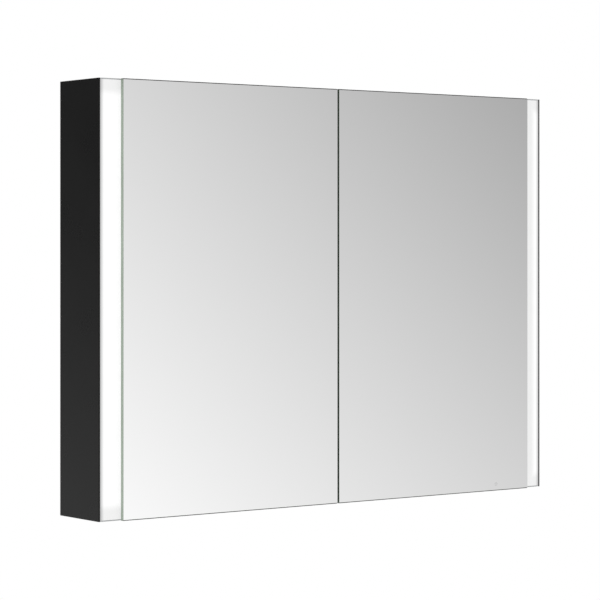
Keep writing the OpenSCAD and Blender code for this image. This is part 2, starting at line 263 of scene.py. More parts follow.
def rod(name: str, centre: Sequence[float], radius: float, length: float,
        sides: int = 32) -> bpy.types.Object:
    """Adds a cylinder along X, with its place in its mesh.

    Args:
        name: the piece's name.
        centre: middle of the cylinder.
        radius: its radius.
        length: its length along X.
        sides: faces round it.

    Returns:
        The new piece.
    """
    clear_selection()
    bpy.ops.mesh.primitive_cylinder_add(vertices=sides, radius=radius, depth=length,
                                        location=centre, rotation=(0, math.pi / 2, 0))
    piece = bpy.context.object
    piece.name = piece.data.name = name
    bpy.ops.object.transform_apply(location=True, rotation=True, scale=True)
    return piece


def join(name: str, parts: Sequence[bpy.types.Object]) -> bpy.types.Object:
    """Joins two or more parts into one piece.

    Args:
        name: the new piece's name.
        parts: the mesh objects; the first takes up the others.

    Returns:
        The joined piece.
    """
    clear_selection()
    for part in parts:
        part.select_set(True)
    bpy.context.view_layer.objects.active = parts[0]
    bpy.ops.object.join()
    piece = bpy.context.object
    piece.name = piece.data.name = name
    return piece


def paint(piece: bpy.types.Object, materials: Sequence[bpy.types.Material],
          rule: Optional[Callable] = None) -> bpy.types.Object:
    """Gives a piece its materials, face by face.

    Args:
        piece: the mesh object.
        materials: its material slots in order.
        rule: takes a polygon and returns its slot's number; all faces get slot 0 without it.

    Returns:
        The piece.
    """
    piece.data.materials.clear()
    for material in materials:
        piece.data.materials.append(material)
    for polygon in piece.data.polygons:
        polygon.material_index = rule(polygon) if rule else 0
    return piece


def settle(piece: bpy.types.Object, body: str, slot: str, *nodes: str) -> bpy.types.Object:
    """Fixes a finished piece to its body and hides the CAD nodes it stands for.

    Args:
        piece: the finished mesh object.
        body: the body it rides on.
        slot: its material slot in the record; not used.
        nodes: the CAD nodes that it replaces, if any.

    Returns:
        The piece.
    """
    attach(piece, body)
    if nodes:
        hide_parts(*nodes)
    log.info("%s: %d faces, on %s", piece.name, len(piece.data.polygons), body)
    return piece


def body_with(node: str) -> str:
    """The body that a CAD node belongs to."""
    bodies = frame["record"]["behaviour"]["bodies"]
    return next(body for body, members in bodies.items() if node in members)


def slot_of(node: str) -> str:
    """The record's material slot of a CAD node."""
    return next(row["material_slot"] for row in frame["record"]["subparts"] if row["node"] == node)


def worked(node: str, edge: float) -> bpy.types.Object:
    """Copies a CAD node's shape, closes its mesh and breaks its sharp edges.

    Args:
        node: the CAD node.
        edge: width of the broken edges.

    Returns:
        A new piece, not yet dressed or fixed to a body.
    """
    mesh = frame["nodes"][node].data.copy()
    piece = bpy.data.objects.new("finished_" + node, mesh)
    mesh.name = piece.name
    bpy.context.scene.collection.objects.link(piece)
    hold(piece)
    bpy.ops.object.mode_set(mode="EDIT")
    bpy.context.tool_settings.mesh_select_mode = (True, False, False)
    bpy.ops.mesh.select_all(action="SELECT")
    bpy.ops.mesh.remove_doubles(threshold=WELD)
    bpy.ops.mesh.dissolve_limited(angle_limit=FLAT_ANGLE)
    leave_edit()
    if edge:
        bevel(piece, edge)
    return smooth(piece)


def dress(node: str, material: bpy.types.Material, edge: float) -> None:
    """Finishes one CAD node in its own shape and one material.

    Args:
        node: the CAD node.
        material: its material.
        edge: width of the broken edges.
    """
    piece = worked(node, edge)
    paint(piece, [material])
    settle(piece, body_with(node), slot_of(node), node)


# ---- finishes ----


@dataclass(frozen=True)
class Finish:
    """A surface finish that becomes one material.

    Attributes:
        name: what the surface is.
        colour: sRGB hex colour.
        roughness: mean roughness.
        metallic: 1 for bare metal.
        ior: index of refraction; metals keep the shader's own.
        specular: the shader's specular level.
    """

    name: str
    colour: str
    roughness: float
    metallic: float = 0.0
    ior: float = 1.5
    specular: float = 0.5

    def make(self) -> bpy.types.Material:
        """Builds the material.

        Returns:
            The new material.
        """
        material = bpy.data.materials.new(self.name)
        material.use_nodes = True
        tree = material.node_tree
        shader = tree.nodes["Principled BSDF"]
        shader.inputs["Base Color"].default_value = linear(self.colour)
        shader.inputs["Roughness"].default_value = self.roughness
        shader.inputs["Metallic"].default_value = self.metallic
        if not self.metallic:
            shader.inputs["IOR"].default_value = self.ior
            shader.inputs["Specular IOR Level"].default_value = self.specular
        self.detail(tree, shader)
        return material

    def detail(self, tree: bpy.types.NodeTree, shader: bpy.types.Node) -> None:
        """Adds what the plain colour lacks; each finish says what."""

    def place(self, tree: bpy.types.NodeTree,
              stretch: Sequence[float] = (1, 1, 1)) -> bpy.types.NodeSocket:
        """Object coordinates in metres, stretched along the axes."""
        here = add_node(tree, "ShaderNodeTexCoord").outputs["Object"]
        return add_node(tree, "ShaderNodeMapping", {"Vector": here, "Scale": stretch}).outputs["Vector"]

    def grain(self, tree: bpy.types.NodeTree, size: float, stretch: Sequence[float] = (1, 1, 1),
              depth: float = 3.0) -> bpy.types.NodeSocket:
        """A noise whose grains measure about size.

        Args:
            tree: the material's node tree.
            size: grain size in metres.
            stretch: scale along each axis; below 1 draws the grain out.
            depth: how many finer layers lie in it.

        Returns:
            The noise's factor.
        """
        place = self.place(tree, stretch)
        noise = add_node(tree, "ShaderNodeTexNoise", {"Vector": place, "Scale": 1 / size, "Detail": depth})
        return noise.outputs["Fac"]

    def spread(self, tree: bpy.types.NodeTree, value: bpy.types.NodeSocket, low: float, high: float,
               start: float = 0.35, end: float = 0.65) -> bpy.types.NodeSocket:
        """Maps a factor to a range of values.

        Args:
            tree: the material's node tree.
            value: the factor, such as a noise.
            low: value at start.
            high: value at end.
            start: factor that gives low; a noise seldom falls below the usual one.
            end: factor that gives high.

        Returns:
            The mapped value.
        """
        return add_node(tree, "ShaderNodeMapRange", {
            "Value": value, "From Min": start, "From Max": end,
            "To Min": low, "To Max": high}).outputs["Result"]

    def relief(self, tree: bpy.types.NodeTree, shader: bpy.types.Node, height: bpy.types.NodeSocket,
               metres: float, strength: float) -> None:
        """Turns a height into bump on the shader.

        Args:
            tree: the material's node tree.
            shader: the material's shader.
            height: the height, 0 to 1.
            metres: depth that a height of 1 stands for.
            strength: share of the bump that shows.
        """
        bump = add_node(tree, "ShaderNodeBump", {"Height": height, "Distance": metres, "Strength": strength})
        tree.links.new(bump.outputs["Normal"], shader.inputs["Normal"])

    def tint(self, tree: bpy.types.NodeTree, shader: bpy.types.Node, value: bpy.types.NodeSocket,
             low: str, high: str) -> None:
        """Colours the shader between two colours by a factor.

        Args:
            tree: the material's node tree.
            shader: the material's shader.
            value: the factor, 0 to 1.
            low: sRGB hex colour at 0.
            high: sRGB hex colour at 1.
        """
        blend = add_node(tree, "ShaderNodeMix", {"Factor": value}, data_type="RGBA")
        blend.inputs[6].default_value = linear(low)
        blend.inputs[7].default_value = linear(high)
        tree.links.new(blend.outputs[2], shader.inputs["Base Color"])


@dataclass(frozen=True)
class BlastedAnodised(Finish):
    """Anodised aluminium sheet, glass-bead blasted: a fine even sparkle and a soft, wide highlight."""

    grain_size: float = 0.6 * MM
    drift_size: float = 120 * MM
    rough_drift: float = 0.01
    darker: str = "0A0A0A"
    lighter: str = "0D0D0D"

    def detail(self, tree: bpy.types.NodeTree, shader: bpy.types.Node) -> None:
        """Bead dimples, and slow faint drifts of tone and roughness from handling."""
        dimples = self.grain(tree, self.grain_size, depth=2)
        drift = self.grain(tree, self.drift_size, depth=2)
        self.relief(tree, shader, dimples, 0.02 * MM, 0.35)
        self.tint(tree, shader, self.spread(tree, drift, 0, 1), self.darker, self.lighter)
        low, high = self.roughness - self.rough_drift, self.roughness + self.rough_drift
        rough = self.spread(tree, drift, low, high)
        tree.links.new(rough, shader.inputs["Roughness"])


@dataclass(frozen=True)
class ExtrudedAnodised(Finish):
    """Silver anodised aluminium, extruded or rolled: fine straight die lines along the length."""

    line_width: float = 0.5 * MM
    along: Along = Along.Z
    darker: str = "B4B6B8"
    lighter: str = "C6C8CA"

    def detail(self, tree: bpy.types.NodeTree, shader: bpy.types.Node) -> None:
        """Die lines in colour, roughness and relief."""
        lines = self.grain(tree, self.line_width, self.along.value, depth=4)
        self.relief(tree, shader, lines, 0.01 * MM, 0.25)
        self.tint(tree, shader, self.spread(tree, lines, 0, 1), self.darker, self.lighter)
        rough = self.spread(tree, lines, self.roughness - 0.05, self.roughness + 0.06)
        tree.links.new(rough, shader.inputs["Roughness"])


@dataclass(frozen=True)
class SilveredGlass(Finish):
    """Silvered float glass seen from its glass side: a clean, nearly perfect mirror.

    Attributes:
        mark: middle of a small sandblasted touch ring, as X and Z, or None.
        mark_radius: the ring's outer radius.
        mark_line: radius of the middle of the ring's line, as a share of the outer one.
        mark_fade: where the line ends and where it is full, from its middle, as such shares.
        mark_colour: sRGB hex colour of the sandblasted line.
        mark_rough: its roughness.
        haze_rough: how much rougher the haziest places are.
    """

    mark: Optional[tuple[float, float]] = None
    mark_radius: float = 3.3 * MM
    mark_line: float = 0.72
    mark_fade: tuple[float, float] = (0.36, 0.2)
    mark_colour: str = "E6E6E6"
    mark_rough: float = 0.22
    haze_rough: float = 0.012

    def detail(self, tree: bpy.types.NodeTree, shader: bpy.types.Node) -> None:
        """A breath of haze where hands wipe it, and the touch ring."""
        haze = self.grain(tree, 140 * MM, (1, 1, 0.5), depth=2)
        rough = self.spread(tree, haze, self.roughness, self.roughness + self.haze_rough, 0.4, 0.75)
        if self.mark:
            ring = self.ring(tree)
            mixed = add_node(tree, "ShaderNodeMix", {"Factor": ring, "A": rough, "B": self.mark_rough})
            rough = mixed.outputs["Result"]
            self.tint(tree, shader, ring, self.colour, self.mark_colour)
        tree.links.new(rough, shader.inputs["Roughness"])

    def ring(self, tree: bpy.types.NodeTree) -> bpy.types.NodeSocket:
        """A factor of 1 on the sandblasted ring and 0 elsewhere."""
        here = add_node(tree, "ShaderNodeTexCoord").outputs["Object"]
        flat = add_node(tree, "ShaderNodeVectorMath", {0: here, 1: (1, 0, 1)}, operation="MULTIPLY")
        middle = (self.mark[0], 0, self.mark[1])
        reach = add_node(tree, "ShaderNodeVectorMath", {0: flat.outputs[0], 1: middle}, operation="DISTANCE")
        line = self.mark_radius * self.mark_line
        away = add_node(tree, "ShaderNodeMath", {0: reach.outputs["Value"], 1: line}, operation="SUBTRACT")
        width = add_node(tree, "ShaderNodeMath", {0: away.outputs[0]}, operation="ABSOLUTE")
        ends, full = (self.mark_radius * share for share in self.mark_fade)
        return add_node(tree, "ShaderNodeMapRange", {
            "Value": width.outputs[0], "From Min": ends, "From Max": full,
            "To Min": 0.0, "To Max": 1.0}).outputs["Result"]


@dataclass(frozen=True)
class GlassEdge(Finish):
    """Ground and polished edge of float glass: grey green, deeper where the light goes far in."""

    deep: str = "9AAC98"
    pale: str = "B6C6B4"
    polish: float = 0.6

    def detail(self, tree: bpy.types.NodeTree, shader: bpy.types.Node) -> None:
        """Long streaks left by the polishing wheel along the edge."""
        streaks = self.grain(tree, 1.5 * MM, (0.02, 1, 0.02), depth=2)
        self.tint(tree, shader, self.spread(tree, streaks, 0, 1, 0.3, 0.7), self.deep, self.pale)
        self.relief(tree, shader, streaks, 0.01 * MM, 0.2)
        shader.inputs["Coat Weight"].default_value = self.polish
        shader.inputs["Coat Roughness"].default_value = 0.08


@dataclass(frozen=True)
class ClearGlass(Finish):
    """Clear float glass shelf: see-through with a trace of iron green."""

    def detail(self, tree: bpy.types.NodeTree, shader: bpy.types.Node) -> None:
        """Faint wipe marks in the gloss."""
        shader.inputs["Transmission Weight"].default_value = 1.0
        wipes = self.grain(tree, 60 * MM, (1, 0.3, 1), depth=2)
        rough = self.spread(tree, wipes, self.roughness, self.roughness + 0.02)
        tree.links.new(rough, shader.inputs["Roughness"])


@dataclass(frozen=True)
class LitOpal(Finish):
    """Opal acrylic lit from behind: a white glow, softer at the outer edge and the ends, with a painted shade
    beside the door.

    Attributes:
        outer_x: distance from the cabinet's middle to the strip's outer edge.
        ends_z: lowest and highest end of the strip.
        glow: emission in the middle of the strip.
        inner_least: share of the glow that is left beside the door, where the door's shade is painted into
            the glow.
        edge_fall: width of the dimmer band along the outer edge.
        end_shade: how far from an end the glow starts and stops climbing.
        inner_shade: distances from the outer edge where the door's painted shade is full and where it ends.
        edge_least: share of the glow that is left at the outer edge.
        end_least: share of the glow that is left at the ends.
        cell_size: size of the faint patches that the single LEDs leave.
        cell_least: share of the glow that is left between them.
    """

    outer_x: float = 0.0
    ends_z: tuple[float, float] = (0.0, 1.0)
    glow: float = 0.83
    inner_least: float = 1.0
    edge_fall: float = 7 * MM
    end_shade: tuple[float, float] = (13 * MM, 28 * MM)
    inner_shade: tuple[float, float] = (20 * MM, 6 * MM)
    edge_least: float = 0.38
    end_least: float = 0.83
    cell_size: float = 18 * MM
    cell_least: float = 0.985

    def detail(self, tree: bpy.types.NodeTree, shader: bpy.types.Node) -> None:
        """Glow by place: the channel's wall shades the outer edge, the caps shade the ends, and the door's
        shade is painted in beside the door.
        """
        here = add_node(tree, "ShaderNodeTexCoord").outputs["Object"]
        axes = add_node(tree, "ShaderNodeSeparateXYZ", {0: here}).outputs
        out = add_node(tree, "ShaderNodeMath", {0: axes["X"]}, operation="ABSOLUTE").outputs[0]
        inward = add_node(tree, "ShaderNodeMath", {0: self.outer_x, 1: out}, operation="SUBTRACT")
        from_edge = inward.outputs[0]
        middle = sum(self.ends_z) / 2
        off = add_node(tree, "ShaderNodeMath", {0: axes["Z"], 1: middle}, operation="SUBTRACT").outputs[0]
        up = add_node(tree, "ShaderNodeMath", {0: off}, operation="ABSOLUTE").outputs[0]
        half = (self.ends_z[1] - self.ends_z[0]) / 2
        from_end = add_node(tree, "ShaderNodeMath", {0: half, 1: up}, operation="SUBTRACT").outputs[0]
        edge = self.fade(tree, from_edge, 0.0, self.edge_fall, self.edge_least, Climb.EVEN)
        end = self.fade(tree, from_end, *self.end_shade, self.end_least, Climb.SOFT)
        # painted shade: the door's shade, dimming the glow towards the inner edge
        near_door, clear_of_door = self.inner_shade
        inner = self.fade(tree, from_edge, near_door, clear_of_door, self.inner_least, Climb.SOFT)
        shade = add_node(tree, "ShaderNodeMath", {0: end, 1: inner}, operation="MINIMUM").outputs[0]
        level = add_node(tree, "ShaderNodeMath", {0: edge, 1: shade}, operation="MULTIPLY").outputs[0]
        patches = self.grain(tree, self.cell_size, depth=1)
        cells = self.spread(tree, patches, self.cell_least * self.glow, self.glow)
        strength = add_node(tree, "ShaderNodeMath", {0: level, 1: cells}, operation="MULTIPLY").outputs[0]
        shader.inputs["Emission Color"].default_value = linear("FFFFFF")
        tree.links.new(strength, shader.inputs["Emission Strength"])

    def fade(self, tree: bpy.types.NodeTree, distance: bpy.types.NodeSocket, near: float, far: float,
             least: float, climb: Climb) -> bpy.types.NodeSocket:
        """A factor that climbs from least at the near distance to 1 at the far one.

        Args:
            tree: the material's node tree.
            distance: the distance it depends on.
            near: distance that gives least.
            far: distance that gives 1.
            least: lowest value.
            climb: how it climbs between them.

        Returns:
            The factor.
        """
        return add_node(tree, "ShaderNodeMapRange", {
            "Value": distance, "From Min": near, "From Max": far, "To Min": least, "To Max": 1.0},
            interpolation_type=climb.value).outputs["Result"]


@dataclass(frozen=True)
class Moulded(Finish):
    """Moulded plastic: a fine spark-eroded skin and slight flow marks."""

    grain_size: float = 0.8 * MM
    darker: str = "D8D8D6"
    lighter: str = "E4E4E2"

    def detail(self, tree: bpy.types.NodeTree, shader: bpy.types.Node) -> None:
        """Skin texture in relief, flow marks in tone and gloss."""
        skin = self.grain(tree, self.grain_size, depth=2)
        flow = self.grain(tree, 30 * MM, (1, 1, 0.4), depth=2)
        self.relief(tree, shader, skin, 0.02 * MM, 0.3)
        self.tint(tree, shader, self.spread(tree, flow, 0, 1), self.darker, self.lighter)
        rough = self.spread(tree, flow, self.roughness - 0.04, self.roughness + 0.05)
        tree.links.new(rough, shader.inputs["Roughness"])


@dataclass(frozen=True)
class PlatedSteel(Finish):
    """Nickel or zinc plated steel: bright, with stamping scratches and a faint cloudiness."""

    darker: str = "8E8F90"
    lighter: str = "B4B5B6"

    def detail(self, tree: bpy.types.NodeTree, shader: bpy.types.Node) -> None:
        """Cloudy tone over crossed hairline scratches."""
        clouds = self.grain(tree, 9 * MM, depth=3)
        hairs = self.grain(tree, 0.4 * MM, (1, 0.05, 1), depth=2)
        self.tint(tree, shader, self.spread(tree, clouds, 0, 1), self.darker, self.lighter)
        self.relief(tree, shader, hairs, 0.01 * MM, 0.3)
        rough = self.spread(tree, clouds, self.roughness - 0.06, self.roughness + 0.08)
        tree.links.new(rough, shader.inputs["Roughness"])


@dataclass(frozen=True)
class Galvanised(Finish):
    """Hot-dip galvanised steel: grey crystals a few millimetres across, each with its own sheen."""

    darker: str = "8B8F92"
    lighter: str = "A9ADB0"

    def detail(self, tree: bpy.types.NodeTree, shader: bpy.types.Node) -> None:
        """Crystals in tone and roughness."""
        place = self.place(tree)
        cells = add_node(tree, "ShaderNodeTexVoronoi", {"Vector": place, "Scale": 1 / (5 * MM)})
        tone = add_node(tree, "ShaderNodeSeparateColor", {0: cells.outputs["Color"]}).outputs[0]
        self.tint(tree, shader, tone, self.darker, self.lighter)
        rough = self.spread(tree, tone, self.roughness - 0.08, self.roughness + 0.1, 0, 1)
        tree.links.new(rough, shader.inputs["Roughness"])


@dataclass(frozen=True)
class Rubbery(Finish):
    """Soft jacket or silicone: dull, with extrusion drag marks."""

    darker: str = "141414"
    lighter: str = "1E1E1E"

    def detail(self, tree: bpy.types.NodeTree, shader: bpy.types.Node) -> None:
        """Drag marks in tone and relief."""
        drag = self.grain(tree, 1.5 * MM, (0.2, 1, 1), depth=2)
        self.tint(tree, shader, self.spread(tree, drag, 0, 1), self.darker, self.lighter)
        self.relief(tree, shader, drag, 0.03 * MM, 0.3)


@dataclass
class Palette:
    """Every material of the cabinet, made once.

    Attributes:
        half_width: half the cabinet's inner width, where the light strips end.
        ends_z: lowest and highest end of the light covers.
        mark: X and Z of the touch ring on the right door.
    """

    half_width: float
    ends_z: tuple[float, float]
    mark: tuple[float, float]

    def __post_init__(self) -> None:
        """Makes the materials."""
        self.black = BlastedAnodised("black anodised aluminium", "0F0F0F", 0.28, specular=0.24).make()
        self.silver = ExtrudedAnodised("silver anodised aluminium", "BDBFC1", 0.34, 1.0).make()
        self.silver_flat = ExtrudedAnodised("silver anodised sheet", "BDBFC1", 0.38, 1.0,
                                            along=Along.X).make()
        self.mirror = SilveredGlass("silvered float glass", "F6F6F6", 0.0, 1.0).make()
        self.marked_mirror = SilveredGlass("silvered float glass with touch ring", "F6F6F6", 0.0, 1.0,
                                           mark=self.mark).make()
        self.glass_edge = GlassEdge("polished green glass edge", "94A894", 0.14, ior=1.52).make()
        # painted shade: the edges that meet in the gap between the doors are coloured darker than the lit
        # outer edges
        self.sealed_edge = GlassEdge("sealed glass edge", "78867A", 0.3, ior=1.52, specular=0.3,
                                     deep="657265", pale="7B887B", polish=0.2).make()
        self.ground_edge = GlassEdge("ground glass arris", "1E231F", 0.5, ior=1.52, specular=0.15,
                                     deep="161A17", pale="282E29", polish=0.0).make()
        self.mirror_back = Moulded("grey mirror lacquer", "6A6E70", 0.5, darker="646869",
                                   lighter="717576").make()
        self.clear = ClearGlass("clear float glass", "EFF7F3", 0.0, ior=1.52).make()
        # only the right strip has the door's shade painted into its glow
        self.opal = {side: LitOpal(f"{side.word} lit opal acrylic", "9A9A9A", 0.35, ior=1.49, specular=0.3,
                                   outer_x=self.half_width, ends_z=self.ends_z,
                                   inner_least=0.82 if side is Side.RIGHT else 1.0).make() for side in Side}
        self.cap = Moulded("light grey moulded ABS", "D8DADB", 0.42, darker="D0D2D3", lighter="DEE0E1").make()
        self.white = Moulded("white moulded ABS", "DEDEDC", 0.32).make()
        self.black_plastic = Moulded("black moulded nylon", "1B1B1B", 0.45, darker="161616",
                                     lighter="202020").make()
        self.nickel = PlatedSteel("nickel plated steel", "A3A4A5", 0.28, 1.0).make()
        self.zinc = PlatedSteel("bright zinc plated steel", "B2B4B6", 0.3, 1.0, darker="9EA0A3",
                                lighter="BEC0C3").make()
        self.galvanised = Galvanised("galvanised steel", "9A9EA1", 0.42, 1.0).make()
        self.board = Moulded("white solder mask", "E6E6DE", 0.38, darker="DEDED6", lighter="ECECE6").make()
        self.phosphor = Moulded("yellow phosphor", "E4C65A", 0.5, darker="DDBD4C", lighter="ECD070").make()
        self.jacket = Rubbery("black lead jacket", "181818", 0.6).make()
        self.silicone = Rubbery("clear silicone", "C9CDCC", 0.35, darker="C2C6C5", lighter="D0D4D3").make()
        self.film = Rubbery("dark adhesive film", "202422", 0.5, darker="1A1D1C", lighter="262A28").make()


# ---- the cabinet ----


@dataclass
class Carcass:
    """The body: black sides, decks, back, inner walls, partition and the mirrored back."""

    palette: Palette
    sheet_edge: float = 0.08 * MM
    arris: float = 0.6 * MM

    def build(self) -> None:
        """Builds and dresses every piece of the body."""
        for side in Side:
            dress(f"{side.word}_side_panel", self.palette.black, self.sheet_edge)
            dress(f"{side.word}_inner_wall", self.palette.silver, self.sheet_edge)
            self.back_mirror(side)
        for node in ("top_panel", "bottom_panel", "back_panel"):
            dress(node, self.palette.silver_flat, self.sheet_edge)
        dress("centre_partition", self.palette.silver, self.sheet_edge)

    def back_mirror(self, side: Side) -> None:
        """The mirror on the back wall of one compartment, with ground arrises."""
        node = f"{side.word}_back_mirror"
        piece = mirror_plate(f"{side.word}_back_wall_mirror", *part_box(node), self.arris, self.palette,
                             self.palette.mirror)
        settle(piece, body_with(node), slot_of(node), node)


def mirror_plate(name: str, low: Vector, high: Vector, arris: float, palette: Palette,
                 face: bpy.types.Material, front: int = -1, sealed: int = 0) -> bpy.types.Object:
    """A pane of mirror glass: silvered face, polished edges, lacquered back.

    The arris along the top and the bottom is ground and dark; along the sides it is finer and polished.
    The edge that meets the other door is coloured darker: a painted shade for the narrow gap between the
    doors.

    Args:
        name: the piece's name.
        low: lowest corner.
        high: highest corner.
        arris: width of the ground arris along the top and the bottom of the face.
        palette: the cabinet's materials.
        face: material of the mirrored face.
        front: sign of Y that the face looks to.
        sealed: sign of X that the edge with the painted gap shade looks to, or 0 for none.

    Returns:
        The pane.
    """
    piece = slab(name, low, high)
    face_y = low.y if front < 0 else high.y

    def on_face(a: Vector, b: Vector) -> bool:
        """Tells if an edge lies on the mirrored face's rim."""
        return abs(a.y - face_y) < NEAR and abs(b.y - face_y) < NEAR

    for width, axis in ((arris, 2), (SIDE_ARRIS, 0)):
        pick(piece, edges=lambda a, b: on_face(a, b) and abs(a[axis] - b[axis]) < NEAR)
        bpy.ops.mesh.bevel(offset=width, offset_type="OFFSET", segments=1, affect="EDGES")
        leave_edit()
    # the four short corners, through the glass, are broken at half the arris
    pick(piece, edges=lambda a, b: abs(a.x - b.x) < NEAR and abs(a.z - b.z) < NEAR)
    bpy.ops.mesh.bevel(offset=arris / 2, offset_type="OFFSET", segments=1, affect="EDGES")
    leave_edit()

    def rule(polygon: bpy.types.MeshPolygon) -> int:
        """Tells a polygon's coat by the way it faces."""
        out = polygon.normal.y * front
        # the meeting edge takes the painted shade of the gap
        if polygon.normal.x * sealed > 0.8:
            return Coat.SEALED
        if abs(out) > 0.95:
            return Coat.FACE if out > 0 else Coat.LACQUER
        slopes = abs(polygon.normal.z) > 0.3 and (out > 0.2 or abs(polygon.normal.x) > 0.3)
        return Coat.GROUND if slopes else Coat.POLISHED

    coats = [face, palette.glass_edge, palette.ground_edge, palette.mirror_back, palette.sealed_edge]
    return paint(piece, coats, rule)


@dataclass
class Shelves:
    """The glass shelves and the pins they rest on."""

    palette: Palette
    count: int = 3
    arris: float = 0.5 * MM
    pin_edge: float = 0.4 * MM
    corner: float = 8 * MM
    corner_steps: int = 8

    def build(self) -> None:
        """Builds each shelf, then the pins."""
        for side in Side:
            for number in range(1, self.count + 1):
                self.shelf(f"{side.word}_shelf_{number}")
        dress("shelf_pins", self.palette.nickel, self.pin_edge)

    def shelf(self, node: str) -> None:
        """A clear pane with rounded front corners and green polished edges."""
        low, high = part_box(node)
        piece = slab(node + "_pane", low, high)
        pick(piece, edges=lambda a, b: max(a.y, b.y) < low.y + NEAR and abs(a.x - b.x) < NEAR)
        bpy.ops.mesh.bevel(offset=self.corner, offset_type="OFFSET", segments=self.corner_steps,
                           affect="EDGES")
        leave_edit()
        bevel(piece, self.arris, 1, 60)
        coats = [self.palette.clear, self.palette.glass_edge]
        paint(piece, coats, lambda p: 0 if abs(p.normal.z) > 0.95 else 1)
        settle(smooth(piece), body_with(node), slot_of(node), node)


@dataclass
class LightColumn:
    """One lit column: channel, LED board, opal cover and end caps."""

    palette: Palette
    side: Side
    channel_edge: float = 0.2 * MM
    cover_round: float = 0.5 * MM
    cap_edge: float = 0.3 * MM
    led_face: float = 0.2 * MM

    def build(self) -> None:
        """Builds the column from the inside out; the cover's long edges are softly rounded."""
        dress(self.node("light_channel"), self.palette.silver, self.channel_edge)
        self.board()
        dress(self.node("light_cover"), self.palette.opal[self.side], self.cover_round)
        dress(self.node("light_end_caps"), self.palette.cap, self.cap_edge)

    def node(self, name: str) -> str:
        """The CAD node of this column with a name."""
        return f"{self.side.word}_{name}"

    def board(self) -> None:
        """The LED board; the faces nearest the cover are the LEDs' phosphor."""
        node = self.node("led_board")
        lit_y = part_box(node)[0].y + self.led_face
        piece = worked(node, 0.0)
        paint(piece, [self.palette.board, self.palette.phosphor], lambda p: 1 if p.center.y < lit_y else 0)
        settle(piece, body_with(node), slot_of(node), node)


@dataclass
class MirrorDoor:
    """A door of two mirrors bonded back to back, with its hinge halves."""

    palette: Palette
    side: Side
    arris: float = 1.45 * MM
    rear_arris: float = 0.7 * MM
    metal_edge: float = 0.3 * MM

    def build(self) -> None:
        """Builds the panes, the film and the hinge parts on the door."""
        body = f"{self.side.word}_door"
        node = f"{self.side.word}_door_mirror"
        face = self.palette.marked_mirror if self.side is Side.RIGHT else self.palette.mirror
        # the edge that meets the other door gets the painted gap shade
        meets = -self.side.value
        front = mirror_plate(f"{self.side.word}_front_pane", *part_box(node), self.arris, self.palette, face,
                             sealed=meets)
        settle(front, body, slot_of(node), node)
        node = f"{self.side.word}_door_rear_mirror"
        rear = mirror_plate(f"{self.side.word}_rear_pane", *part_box(node), self.rear_arris, self.palette,
                            self.palette.mirror, front=1, sealed=meets)
        settle(rear, body, slot_of(node), node)
        node = f"{self.side.word}_door_bond"
        paint(frame["nodes"][node], [self.palette.film])
        dress(f"{self.side.word}_hinge_plates", self.palette.nickel, self.metal_edge)
        dress(f"{self.side.word}_hinge_door_pins", self.palette.zinc, self.metal_edge)


@dataclass
class HingeArms:
    """The moving arms and the fixed bases of one side's hinges."""

    palette: Palette
    side: Side
    edge: float = 0.3 * MM

    def build(self) -> None:
        """Finishes arms, bases and pins from their CAD shapes."""
        for name in ("hinge_bases", "short_arms", "long_arms", "hinge_base_pins"):
            material = self.palette.zinc if name.endswith("pins") else self.palette.nickel
            dress(f"{self.side.word}_{name}", material, self.edge)


@dataclass
class SocketContacts:
    """The two plated sleeves at the bottom of the mains socket, which take the plug's pins."""

    palette: Palette
    recess_depth: float = 17.5 * MM
    apart: float = 19 * MM
    radius: float = 2.4 * MM
    wall: float = 0.6 * MM
    length: float = 9 * MM
    bore: float = 0.8
    set_back: float = 0.5 * MM
    rim: float = 0.15 * MM

    def build(self) -> None:
        """Makes one sleeve, copies it and fixes the pair in the socket."""
        low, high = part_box("power_socket")
        middle = (low + high) / 2
        reach = low.x + self.recess_depth + self.set_back + self.length / 2
        first = self.sleeve(Vector((reach, middle.y - self.apart / 2, middle.z)))
        second = first.copy()
        second.data = first.data.copy()
        second.data.transform(Matrix.Translation((0, self.apart, 0)))
        bpy.context.scene.collection.objects.link(second)
        pair = join("socket_contacts", [first, second])
        paint(pair, [self.palette.nickel])
        settle(pair, body_with("power_socket"), "nickel_steel")

    def sleeve(self, centre: Vector) -> bpy.types.Object:
        """A sleeve bored from its front, with broken edges."""
        piece = rod("contact_sleeve", centre, self.radius, self.length)
        pick(piece, faces=lambda p: p.normal.x < -0.9)
        bpy.ops.mesh.inset(thickness=self.wall)
        bpy.ops.mesh.extrude_region_move(TRANSFORM_OT_translate={"value": (self.bore * self.length, 0, 0)})
        leave_edit()
        bevel(piece, self.rim)
        return smooth(piece)


@dataclass
class Fittings:
    """Everything small: electrics, socket, hanging hardware, screws and bumpers."""

    palette: Palette
    edge: float = 0.3 * MM

    def build(self) -> None:
        """Finishes each fitting from its CAD shape; the leads are round and have no edge to break."""
        finishes = {
            "led_driver": self.palette.white, "led_driver_lid": self.palette.white,
            "terminal_box": self.palette.white, "power_socket": self.palette.white,
            "power_socket_frame": self.palette.white, "cable_gland": self.palette.black_plastic,
            "touch_sensor": self.palette.black_plastic, "left_light_lead": self.palette.jacket,
            "right_light_lead": self.palette.jacket, "wall_rail": self.palette.galvanised,
            "hanging_brackets": self.palette.galvanised, "levelling_screws": self.palette.zinc,
            "bracket_rivets": self.palette.zinc, "hinge_screws": self.palette.zinc,
            "door_bumpers": self.palette.silicone,
        }
        for node, material in finishes.items():
            dress(node, material, 0.0 if node.endswith("lead") else self.edge)


# ---- the studio ----


